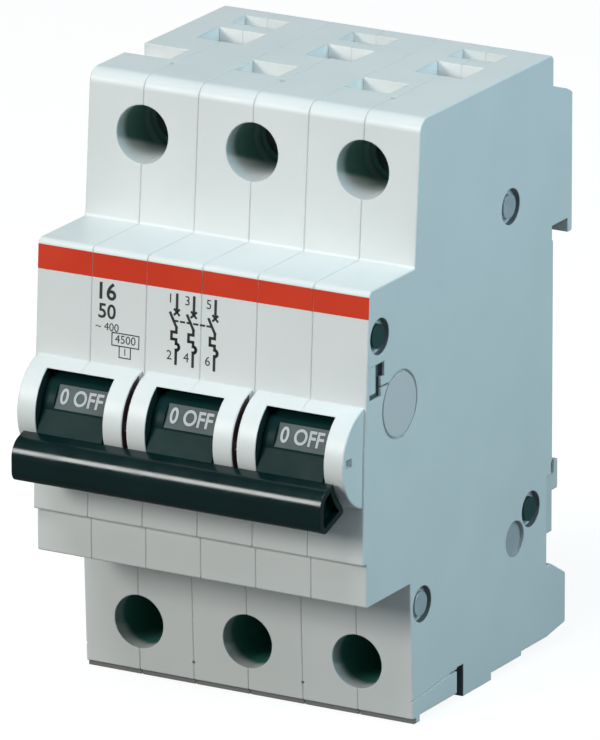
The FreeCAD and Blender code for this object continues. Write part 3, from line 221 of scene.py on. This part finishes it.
def spread(tree, value, low, high):
    """Noise brought between two values."""
    node = tree.nodes.new("ShaderNodeMapRange")
    node.inputs["From Min"].default_value, node.inputs["From Max"].default_value = NOISE_SPAN
    node.inputs["To Min"].default_value = low
    node.inputs["To Max"].default_value = high
    tree.links.new(value, node.inputs["Value"])
    return node.outputs[0]


def mix(tree, factor, a, b):
    """Colour a where the factor is 0, colour b where it is 1."""
    node = tree.nodes.new("ShaderNodeMix")
    node.data_type = "RGBA"
    tree.links.new(factor, node.inputs["Factor"])
    for name, value in (("A", a), ("B", b)):
        socket = [s for s in node.inputs if s.name == name and s.type == "RGBA"][0]
        if isinstance(value, tuple):
            socket.default_value = (*value, 1)
        else:
            tree.links.new(value, socket)
    return [s for s in node.outputs if s.type == "RGBA"][0]


def bump(tree, height, depth, rounded):
    """A normal raised by the height, over the rounded edges where there are any."""
    node = tree.nodes.new("ShaderNodeBump")
    node.inputs["Strength"].default_value = GRAIN_STRENGTH
    node.inputs["Distance"].default_value = depth * MM
    tree.links.new(height, node.inputs["Height"])
    if rounded is not None:
        tree.links.new(rounded, node.inputs["Normal"])
    return node.outputs["Normal"]


def soft_edges(tree, radius):
    node = tree.nodes.new("ShaderNodeBevel")
    node.samples = 4
    node.inputs["Radius"].default_value = radius * MM
    return node.outputs["Normal"]


MATERIALS = {}


def surface(name, dark, light, rough, metallic=0.0, grain_mm=0.25, grain_depth=0.012, cloud_mm=9.0,
            stretch=(1, 1, 1), edge_mm=0.0, coat=0.0, specular=0.5):
    """A material whose colour, gloss and grain all vary a little over the surface."""
    material, tree, shader = new_material(name)
    colour = mix(tree, spread(tree, noise(tree, cloud_mm, 4.0), 0.0, 1.0), dark, light)
    tree.links.new(colour, shader.inputs["Base Color"])
    clouds = noise(tree, cloud_mm * GLOSS_CLOUD, 4.0, stretch)
    gloss = spread(tree, clouds, rough + GLOSS_SPAN[0], rough + GLOSS_SPAN[1])
    tree.links.new(gloss, shader.inputs["Roughness"])
    rounded = soft_edges(tree, edge_mm) if edge_mm else None
    grain = bump(tree, noise(tree, grain_mm, 2.0, stretch), grain_depth, rounded)
    tree.links.new(grain, shader.inputs["Normal"])
    shader.inputs["Metallic"].default_value = metallic
    shader.inputs["Coat Weight"].default_value = coat
    shader.inputs["Specular IOR Level"].default_value = specular
    MATERIALS[name] = material
    return tree, shader, colour


def bore_shade(tree, across, y, z):
    """Painted shade in the screwdriver bores: pale floors, dark upper walls, and a lighter ring deeper in
    the upper row.
    """
    def of(operation, a, b=None):
        return math_node(tree, operation, a, b)

    def by_row(pair, unit):
        """The pair's first value in the upper row, its second in the lower row."""
        return of("ADD", of("MULTIPLY", lower, (pair[1] - pair[0]) * unit), pair[0] * unit)

    lower = less(tree, z, 0.0)
    upper = of("SUBTRACT", 1.0, lower)
    height = of("SUBTRACT", z, by_row(BORE_Z, MM))
    away = of("SQRT", of("ADD", of("MULTIPLY", across, across), of("MULTIPLY", height, height)))
    depth = of("SUBTRACT", y, by_row(BORE_FACE_Y, MM))
    depth = of("SUBTRACT", depth, of("MULTIPLY", by_row(BORE_FACE_SLOPE, 1.0), height))
    inside = product(tree, less(tree, away, BORE_RADIUS + BORE_MARGIN), ramp(tree, depth, *RIM_SPAN),
                     less(tree, y, BORE_SHADE_END_Y))
    above_floor = ramp(tree, of("ADD", height, of("MULTIPLY", depth, PALE_FLOOR_FALL)), *PALE_FLOOR_EDGE)
    dark_floor = of("MULTIPLY", lower, ramp(tree, depth, *LOWER_FLOOR_SPAN))
    shade = of("ADD", of("MULTIPLY", ramp(tree, depth, *INNER_SPAN), 1 - RIM_SHADE), RIM_SHADE)
    ring = product(tree, ramp(tree, depth, *RING_STARTS), ramp(tree, depth, *RING_ENDS), RING_LIGHTER)
    shade = of("SUBTRACT", shade, of("MULTIPLY", upper, of("ADD", ring, UPPER_ROW_LIGHTER)))
    return product(tree, inside, greatest(tree, above_floor, dark_floor), shade)


def recess_shade(tree, inward, y, z):
    """Painted shade in the recesses in the sides, the notch in the underside and the hook's root."""
    circles = [near(tree, y, z, rivet, RECESS_RADIUS + RIVET_MARGIN) for rivet in RIVETS]
    rivets = product(tree, greatest(tree, *circles), within(tree, (inward, *RIVET_SPAN)))
    slot = within(tree, (inward, *SLOT_SPAN), (y, SLOT_Y[0] - SLOT_MARGIN, SLOT_Y[1] + SLOT_MARGIN),
                  (z, SLOT_Z[0] - SLOT_MARGIN, SLOT_Z[1] + SLOT_MARGIN))
    mark = product(tree, near(tree, y, z, SHALLOW_RECESS, RECESS_RADIUS + MARK_MARGIN),
                   within(tree, (inward, *MARK_SPAN)), MARK_SHADE)
    notch = within(tree, (y, *NOTCH_Y), (z, *NOTCH_Z))
    hook_root = within(tree, (y, *HOOK_ROOT_Y), (z, *HOOK_ROOT_Z))
    across_body = product(tree, greatest(tree, notch, hook_root), more(tree, inward, SIDE_SKIN))
    return product(tree, greatest(tree, rivets, slot, mark, across_body), RECESS_SHADE)


def housing_material():
    """Light grey moulded plastic, painted dark as shade where its openings and recesses run deep, and
    painted light at the rims of the openings on top.
    """
    tree, shader, colour = surface("housing_plastic", (0.68, 0.69, 0.675), (0.72, 0.725, 0.71), 0.42,
                                   edge_mm=0.22, grain_mm=0.22, grain_depth=0.010, cloud_mm=14.0)
    x, y, z = coordinates(tree)
    across = math_node(tree, "PINGPONG", x, HALF_POLE * MM)
    inward = math_node(tree, "SUBTRACT", SIDE_X * MM, math_node(tree, "ABSOLUTE", x))
    disc = product(tree, near(tree, y, z, DISC, DISC_RADIUS - DISC_INSET), less(tree, inward, DISC_DEPTH))
    # The walls of the toggles' windows are black
    window = product(tree, less(tree, across, WINDOW_HALF + WINDOW_MARGIN),
                     within(tree, (z, PIVOT_Z - WINDOW_DARK_HEIGHT, PIVOT_Z + WINDOW_DARK_HEIGHT)),
                     near(tree, y, z, (PIVOT_Y, PIVOT_Z), WINDOW_DARK_RADIUS))
    # The conductors' openings on top: painted light at the rim and painted shade further in
    entry = product(tree, less(tree, across, ENTRY_HALF + ENTRY_MARGIN),
                    within(tree, (y, *ENTRY_Y), (z, *ENTRY_Z)))
    entry_light_and_shade = mix(tree, ramp(tree, z, *ENTRY_PALE_Z), (0.06, 0.075, 0.07), (0.88, 0.89, 0.88))
    # Painted shade in the narrow gaps between neighbouring cheeks
    gap = product(tree, more(tree, across, HALF_POLE - GAP_HALF), less(tree, y, GAP_FRONT_Y),
                  more(tree, inward, GAP_DEPTH))
    # The set-back strip along the lower edge of the front lies in shadow
    foot = product(tree, less(tree, y, FOOT_FRONT_Y), ramp(tree, z, *FOOT_STRIP_Z), FOOT_SHADE)
    # Layers over the plastic: a purplish grey on the disc, painted shade in the recesses and bores, black
    # in the toggles' windows, painted light and shade in the openings on top, painted shade in the gaps
    # and on the foot strip
    for mask, shade in ((disc, (0.655, 0.625, 0.615)),
                        (recess_shade(tree, inward, y, z), (0.03, 0.045, 0.06)),
                        (bore_shade(tree, across, y, z), (0.045, 0.19, 0.155)),
                        (window, (0.008, 0.025, 0.022)),
                        (entry, entry_light_and_shade),
                        (gap, (0.11, 0.065, 0.062)),
                        (foot, (0.08, 0.085, 0.085))):
        colour = mix(tree, mask, colour, shade)
    tree.links.new(colour, shader.inputs["Base Color"])


def rivet_material():
    """Plated rivets: pale heads, two of them painted dark as shade."""
    tree, shader, colour = surface("rivet_metal", (0.52, 0.56, 0.58), (0.62, 0.65, 0.67), 0.4, 0.4,
                                   grain_mm=0.3, cloud_mm=2.0, edge_mm=0.15)
    _, y, z = coordinates(tree)
    dark = greatest(tree, *(near(tree, y, z, rivet, RECESS_RADIUS) for rivet in SHADED_RIVETS))
    tree.links.new(mix(tree, dark, colour, (0.03, 0.085, 0.075)), shader.inputs["Base Color"])


housing_material()
surface("handle_plastic", (0.0008, 0.0105, 0.010), (0.0016, 0.0135, 0.013), 0.19, grain_mm=0.5,
        grain_depth=0.002, edge_mm=0.2, specular=0.4)
# The toggles' black plastic: matte, its colour painted lighter and greener than the bar's to stand for
# the sheen on their upward faces
surface("toggle_plastic_painted_light", (0.002, 0.018, 0.017), (0.004, 0.025, 0.023), 0.36, grain_mm=0.4,
        grain_depth=0.006, edge_mm=0.2, specular=0.05)
surface("label_grey", (0.06, 0.078, 0.078), (0.095, 0.118, 0.118), 0.45, grain_mm=0.12,
        grain_depth=0.01, specular=0.15)
surface("clip_plastic", (0.60, 0.60, 0.58), (0.66, 0.66, 0.64), 0.5, edge_mm=0.2)
# The terminal screws' steel is painted dark and greenish, as the shade deep in the bores
surface("screw_steel", (0.12, 0.15, 0.14), (0.22, 0.25, 0.24), 0.42, 1.0, grain_mm=0.18,
        cloud_mm=2.5, edge_mm=0.15)
surface("zinc_steel", (0.42, 0.43, 0.43), (0.58, 0.59, 0.58), 0.34, 1.0, grain_mm=0.15,
        grain_depth=0.006, cloud_mm=3.0, stretch=(1, 6, 1))
surface("spring_steel", (0.34, 0.34, 0.34), (0.48, 0.48, 0.47), 0.3, 1.0, cloud_mm=2.0)
surface("copper", (0.62, 0.27, 0.15), (0.78, 0.40, 0.25), 0.32, 1.0, cloud_mm=4.0, stretch=(1, 1, 5))
surface("coil_wire", (0.36, 0.12, 0.05), (0.48, 0.18, 0.07), 0.28, 0.8, cloud_mm=3.0, coat=0.5)
surface("silver_tip", (0.60, 0.60, 0.59), (0.75, 0.75, 0.73), 0.35, 1.0, cloud_mm=1.5)
surface("bimetal", (0.42, 0.40, 0.36), (0.56, 0.53, 0.47), 0.33, 1.0, cloud_mm=3.0, stretch=(1, 1, 6))
surface("inner_plastic", (0.025, 0.026, 0.028), (0.04, 0.041, 0.043), 0.48)
surface("fibre_card", (0.30, 0.15, 0.08), (0.42, 0.23, 0.13), 0.75, grain_mm=0.3, grain_depth=0.03)
surface("stripe_ink", (0.60, 0.038, 0.013), (0.66, 0.048, 0.018), 0.42, grain_mm=0.2,
        grain_depth=0.006, specular=0.2)
surface("black_ink", (0.012, 0.013, 0.013), (0.03, 0.031, 0.03), 0.5)
surface("white_ink", (0.33, 0.36, 0.36), (0.40, 0.43, 0.43), 0.42)
rivet_material()

OWN_MATERIALS = {"case_rivets": "rivet_metal", "toggle_1": "toggle_plastic_painted_light",
                 "toggle_2": "toggle_plastic_painted_light", "toggle_3": "toggle_plastic_painted_light"}
for part in frame["record"]["subparts"]:
    for slot in NODES[part["node"]].material_slots:
        slot.material = MATERIALS[OWN_MATERIALS.get(part["node"], part["material_slot"])]

# Prints on the front; lengths are in millimetres
SEAM = 0.04
STRIPE_LOW = (18.2, 18.6)
STRIPE_HIGH = 21.7
STRIPE_LIFT = 0.012
LINE_LIFT = 0.013
TEXT_LIFT = 0.014
TEXT_DEPTH = 0.004
CAPITAL_SHARE = 0.69
BLACK = MATERIALS["black_ink"]


class Plane:
    """A flat place on the object: points go in as millimetres across and up from its origin."""

    def __init__(self, origin, up):
        self.origin = Vector(origin) * MM
        self.right = Vector((1, 0, 0))
        self.up = Vector(up).normalized()
        self.out = self.right.cross(self.up)

    def point(self, across, up, lift):
        return self.origin + (self.right * across + self.up * up + self.out * lift) * MM

    def matrix(self, across, up, lift):
        turn = Matrix((self.right, self.up, self.out)).transposed().to_4x4()
        return Matrix.Translation(self.point(across, up, lift)) @ turn


SLOPE = Vector((0, CAP_TOP_Y - CAP_MID_Y, CAP_TOP_Z)).normalized()
FRONT = Plane((0, CAP_MID_Y, 0), SLOPE)


def up_front(z):
    """Height along the sloping front for a height in the frame."""
    return z / SLOPE.z


def put(name, data):
    """A new object of the scene."""
    piece = bpy.data.objects.new(name, data)
    bpy.context.scene.collection.objects.link(piece)
    return piece


def flat_mesh(name, polygons, material):
    """A mesh of separate flat polygons, each a list of points in metres."""
    mesh = bmesh.new()
    for polygon in polygons:
        mesh.faces.new([mesh.verts.new(point) for point in polygon])
    mesh.normal_update()
    data = bpy.data.meshes.new(name)
    mesh.to_mesh(data)
    mesh.free()
    data.materials.append(material)
    return data


def film(name, polygons, lift, material):
    """Thin flat print on the housing's front, of polygons given in millimetres."""
    points = [[FRONT.point(across, up, lift) for across, up in polygon] for polygon in polygons]
    piece = put(name, flat_mesh(name, points, material))
    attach(piece, "housing")


def stroke(start, end, width):
    """The four corners of a straight line of some width."""
    a, b = Vector(start), Vector(end)
    side = Vector((-(b - a).y, (b - a).x)).normalized() * width / 2
    along = (b - a).normalized() * width / 2
    a, b = a - along, b + along
    return [tuple(a - side), tuple(b - side), tuple(b + side), tuple(a + side)]


def strokes(points, width):
    return [stroke(a, b, width) for a, b in zip(points, points[1:])]


def words(name, text, height, matrix, material, body, bolder, align="CENTER"):
    """Lettering whose capitals are this high, with its lines made bolder by a little."""
    curve = bpy.data.curves.new(name, "FONT")
    curve.body = text
    curve.size = height / CAPITAL_SHARE * MM
    curve.align_x = align
    curve.align_y = "CENTER"
    curve.offset = bolder * MM
    curve.extrude = TEXT_DEPTH * MM
    curve.resolution_u = 4
    curve.materials.append(material)
    piece = put(name, curve)
    piece.matrix_world = matrix
    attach(piece, body)


def front_words(name, text, height, across, z, bolder=0.0):
    """Black lettering on the housing's front, centred on this place."""
    words(name, text, height, FRONT.matrix(across, up_front(z), TEXT_LIFT), BLACK, "housing", bolder)


def stripe_low(x):
    """The stripe's lower edge climbs a little from left to right."""
    share = (x + SIDE_X) / (2 * SIDE_X)
    return up_front(STRIPE_LOW[0] + (STRIPE_LOW[1] - STRIPE_LOW[0]) * share)


edges = [x + side for x in POLE_X for side in (-HALF_POLE, 0.0)] + [SIDE_X]
stripe = [[(left + SEAM, stripe_low(left)), (right - SEAM, stripe_low(right)),
           (right - SEAM, up_front(STRIPE_HIGH)), (left + SEAM, up_front(STRIPE_HIGH))]
          for left, right in zip(edges, edges[1:])]
film("front_stripe", stripe, STRIPE_LIFT, MATERIALS["stripe_ink"])

# The switch symbol on the middle pole: three contacts on a common link, each with its trips.
# A line of a contact is its points across from the contact's column and up, and its boldness.
INK = 0.42
ARC_RADIUS = 0.45
ARC_UP = 10.35
ARC_ANGLES = [math.radians(angle) for angle in range(0, 181, 30)]
TRIP_ARC = [(ARC_RADIUS * math.sin(a), ARC_UP + ARC_RADIUS * math.cos(a)) for a in ARC_ANGLES]
CONTACT_LINES = (
    ([(0, 17.7), (0, 15.4)], 1.0),
    ([(-0.35, 15.6), (0.35, 14.9)], 0.8),
    ([(0.35, 15.6), (-0.35, 14.9)], 0.8),
    ([(-1.0, 15.0), (0, 13.1)], 1.0),
    ([(0, 13.1), (0, 12.4), (-0.75, 12.4), (-0.75, 11.4), (0, 11.4), (0, 10.8)], 1.0),
    (TRIP_ARC + [(0, 8.0)], 1.0))
CONTACT_COLUMNS = (-3.9, -1.2, 2.2)
NUMBER_HEIGHT = 1.3
NUMBER_SHIFT = -1.05
UPPER_NUMBER_Z = 17.0
LOWER_NUMBER_Z = 9.0
LINK_START = -4.3
LINK_UP = 14.0
DASHES = 6
DASH_PITCH = 1.06
DASH_LENGTH = 0.55
DASH_BOLDNESS = 0.7
symbol = []
for index, column in enumerate(CONTACT_COLUMNS):
    for points, boldness in CONTACT_LINES:
        symbol += strokes([(column + across, up) for across, up in points], INK * boldness)
    for number, z in ((2 * index + 1, UPPER_NUMBER_Z), (2 * index + 2, LOWER_NUMBER_Z)):
        front_words("contact_number_%d" % number, str(number), NUMBER_HEIGHT, column + NUMBER_SHIFT, z)
for dash in range(DASHES):
    start = LINK_START + dash * DASH_PITCH
    symbol += strokes([(start, LINK_UP), (start + DASH_LENGTH, LINK_UP)], INK * DASH_BOLDNESS)
film("switch_symbol", symbol, LINE_LIFT, BLACK)

# Plain numbers and a small box on the left pole: height of the capitals, across, up, bolder by
front_words("number_upper", "16", 2.3, -15.2, 16.4, 0.07)
front_words("number_middle", "50", 2.0, -15.0, 13.6, 0.05)
front_words("number_lower", "~ 400", 1.1, -14.9, 11.5)
BOX_LINE = 0.16
BOX_X = (-14.1, -9.8)
BOX_UP = (9.1, 10.9)
SMALL_BOX_X = (-12.9, -11.1)
SMALL_BOX_UP = 7.5
box_lines = strokes([(BOX_X[0], BOX_UP[1]), (BOX_X[1], BOX_UP[1]), (BOX_X[1], BOX_UP[0]),
                     (BOX_X[0], BOX_UP[0]), (BOX_X[0], BOX_UP[1])], BOX_LINE)
box_lines += strokes([(SMALL_BOX_X[0], BOX_UP[0]), (SMALL_BOX_X[0], SMALL_BOX_UP),
                      (SMALL_BOX_X[1], SMALL_BOX_UP), (SMALL_BOX_X[1], BOX_UP[0])], BOX_LINE)
film("number_box", box_lines, LINE_LIFT, BLACK)
front_words("number_in_box", "4500", 1.15, -11.95, 10.0)
front_words("number_under_box", "1", 1.0, -12.0, 8.3)

# Lettering on the toggles' plates: pale letters over a wider black edge
PLATE_RADIUS = 5.4
PLATE_LEFT_X = -3.4
PLATE_FACES = (("off", "0 OFF", 28.5), ("on", "I ON", -91.5))
PLATE_LAYERS = (("edge", 0.010, BLACK, 0.16), ("text", 0.022, MATERIALS["white_ink"], 0.07))
LETTER_HEIGHT = 2.15
LETTER_START = 0.55
LETTER_WIDTH = 0.86
for number, x in enumerate(POLE_X, 1):
    for state, text, angle in PLATE_FACES:
        sine, cosine = math.sin(math.radians(angle)), math.cos(math.radians(angle))
        origin = (x + PLATE_LEFT_X, PIVOT_Y - PLATE_RADIUS * cosine, PIVOT_Z + PLATE_RADIUS * sine)
        plate = Plane(origin, (0, sine, cosine))
        for layer, lift, ink, bolder in PLATE_LAYERS:
            matrix = plate.matrix(LETTER_START, 0.0, lift) @ Matrix.Diagonal((LETTER_WIDTH, 1, 1, 1))
            words("plate_%s_%s_%d" % (layer, state, number), text, LETTER_HEIGHT, matrix, ink,
                  "handle", bolder, "LEFT")

# Floor, world, lights and camera; from here lengths are in metres unless said otherwise
FLOOR_HALF = 4
FLOOR_GAP_MM = 0.05
FLOOR_GREY = 0.18
FLOOR_GLOW = 0.88
SKY = (0.9, 1.0, 1.0)
SKY_STRENGTH = 0.12
CAMERA_DEGREES = (29.936, 17.368, -0.097)
CAMERA_PLACE_MM = (794.9, -1405.5, 498.4)
CAMERA_LENS = 583.8


def floor():
    """White to the camera, but grey to the lamps, so that it lights the part little from below."""
    material, tree, shader = new_material("floor_white")
    shader.inputs["Base Color"].default_value = (FLOOR_GREY, FLOOR_GREY, FLOOR_GREY, 1)
    shader.inputs["Roughness"].default_value = 1.0
    shader.inputs["Specular IOR Level"].default_value = 0.0
    rays = tree.nodes.new("ShaderNodeLightPath")
    tree.links.new(product(tree, rays.outputs["Is Camera Ray"], FLOOR_GLOW),
                   shader.inputs["Emission Strength"])
    shader.inputs["Emission Color"].default_value = (1, 1, 1, 1)
    corners = [(x * FLOOR_HALF, y * FLOOR_HALF, (FLOOR_Z - FLOOR_GAP_MM) * MM)
               for x, y in ((-1, -1), (1, -1), (1, 1), (-1, 1))]
    piece = put("floor", flat_mesh("floor", [corners], material))


def world():
    """White to the camera, a faint cool light on the part."""
    studio = bpy.data.worlds.new("studio")
    studio.use_nodes = True
    bpy.context.scene.world = studio
    tree = studio.node_tree
    sky = tree.nodes["Background"]
    sky.inputs["Color"].default_value = (*SKY, 1)
    sky.inputs["Strength"].default_value = SKY_STRENGTH
    white = tree.nodes.new("ShaderNodeBackground")
    white.inputs["Color"].default_value = (1, 1, 1, 1)
    rays = tree.nodes.new("ShaderNodeLightPath")
    choose = tree.nodes.new("ShaderNodeMixShader")
    tree.links.new(rays.outputs["Is Camera Ray"], choose.inputs[0])
    tree.links.new(sky.outputs[0], choose.inputs[1])
    tree.links.new(white.outputs[0], choose.inputs[2])
    tree.links.new(choose.outputs[0], tree.nodes["World Output"].inputs["Surface"])


def outward(azimuth, elevation):
    """The direction seen at these angles: azimuth 0 is straight in front, 90 at the right-hand side."""
    return Vector((math.sin(azimuth) * math.cos(elevation), -math.cos(azimuth) * math.cos(elevation),
                   math.sin(elevation)))


def lamp(name, azimuth, elevation, distance, size, power, colour, target=(0, -0.03, 0)):
    """A rectangular soft light that faces its target; the angles are in degrees."""
    data = bpy.data.lights.new(name, "AREA")
    data.shape = "RECTANGLE"
    data.size, data.size_y = size
    data.energy = power
    data.color = colour
    direction = outward(math.radians(azimuth), math.radians(elevation))
    light = put(name, data)
    light.location = Vector(target) + direction * distance
    light.rotation_euler = direction.to_track_quat("Z", "Y").to_euler()


def camera():
    """The camera that was fitted to the photo's outline."""
    azimuth, elevation, roll = (math.radians(angle) for angle in CAMERA_DEGREES)
    back = outward(azimuth, elevation)
    right = Vector((math.cos(azimuth), math.sin(azimuth), 0))
    up = back.cross(right)
    right, up = right * math.cos(roll) + up * math.sin(roll), up * math.cos(roll) - right * math.sin(roll)
    data = bpy.data.cameras.new("camera")
    data.lens = CAMERA_LENS
    data.sensor_width = 36.0
    data.clip_start = 0.05
    view = put("camera", data)
    turn = Matrix((right, up, back)).transposed().to_4x4()
    view.matrix_world = Matrix.Translation(Vector(CAMERA_PLACE_MM) * MM) @ turn
    bpy.context.scene.camera = view


floor()
world()
lamp("key_low", -29, 23, 1.1, (0.35, 0.35), 7.0, (0.98, 1.0, 0.97))
lamp("key_high", -10, 63, 1.1, (0.6, 0.45), 5.9, (0.86, 0.95, 1.0))
lamp("side", 90, 30, 0.45, (0.3, 0.3), 1.52, (0.58, 0.87, 1.0), (0, -0.03, 0.02))
camera()
bpy.context.scene.view_settings.view_transform = "Standard"
